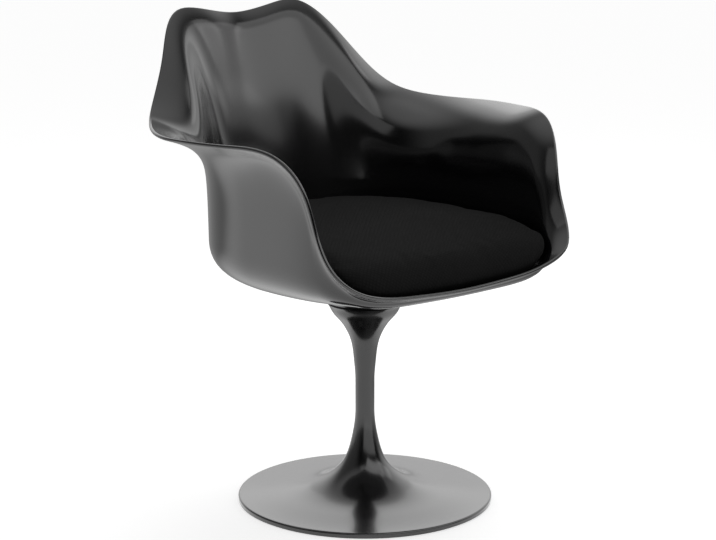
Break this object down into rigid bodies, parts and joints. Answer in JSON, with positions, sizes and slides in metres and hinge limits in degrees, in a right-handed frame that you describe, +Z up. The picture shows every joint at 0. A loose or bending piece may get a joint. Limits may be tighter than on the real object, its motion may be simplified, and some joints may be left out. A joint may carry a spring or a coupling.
{
  "type": "tulip armchair",
  "caption": "Armchair with a one-piece moulded tulip shell that turns on a round trumpet pedestal, with a lift-out upholstered seat cushion.",
  "frame": {"origin": "on the floor under the swivel axis, at the centre of the floor ring's flat underside", "axes": "+Z up along the swivel axis, -Y the way the sitter faces, +X to the right seen from the front"},
  "size_m": [0.6664, 0.6034, 0.8149],
  "materials": {
    "pedestal_coat": "black satin powder coat on cast aluminium",
    "hub_coat": "black satin powder coat on cast aluminium",
    "rubber": "matt black rubber",
    "steel": "turned zinc plated steel",
    "ball_steel": "polished bearing steel",
    "black_steel": "black oxide steel",
    "brass": "stamped brass",
    "acetal": "natural acetal",
    "shell_gloss": "black gloss moulded shell",
    "hook_tape": "black nylon hook tape",
    "loop_tape": "black nylon loop tape",
    "cushion_fabric": "black woven wool upholstery",
    "base_cloth": "black woven base cloth",
    "zip_tape": "black woven zip tape with a coil",
    "zip_metal": "black painted zinc slider",
    "foam": "moulded seat foam"
  },
  "bodies": {
    "pedestal": {"pedestal": "pedestal_coat", "floor_ring": "rubber", "swivel_post": "steel", "bearing_lower_race": "steel", "retaining_washer": "steel", "retaining_screw": "steel"},
    "bearing": {"bearing_cage": "brass", "bearing_balls": "ball_steel"},
    "seat": {"seat_hub": "hub_coat", "lower_bush": "acetal", "upper_bush": "acetal", "bearing_upper_race": "steel", "hub_gasket": "rubber", "seat_shell": "shell_gloss", "shell_screws": "black_steel", "shell_washers": "steel", "hook_patches": "hook_tape"},
    "cushion": {"cushion_cover": "cushion_fabric", "cover_zip": "zip_tape", "cover_base": "base_cloth", "cushion_foam": "foam", "zip_slider": "zip_metal", "loop_patches": "loop_tape"}
  },
  "joints": [
    {"name": "seat_swivel", "type": "hinge", "parent": "pedestal", "child": "seat", "pos_m": [0, 0, 0.35], "axis": [0, 0, 1], "continuous": true},
    {"name": "bearing_roll", "type": "hinge", "parent": "pedestal", "child": "bearing", "pos_m": [0, 0, 0.3247], "axis": [0, 0, 1], "continuous": true},
    {"name": "cushion_lift", "type": "slide", "parent": "seat", "child": "cushion", "axis": [0, 0, 1], "range_m": [0, 0.45]}
  ],
  "couplings": [
    {"joint": "bearing_roll", "follows": "seat_swivel", "ratio": 0.5}
  ]
}
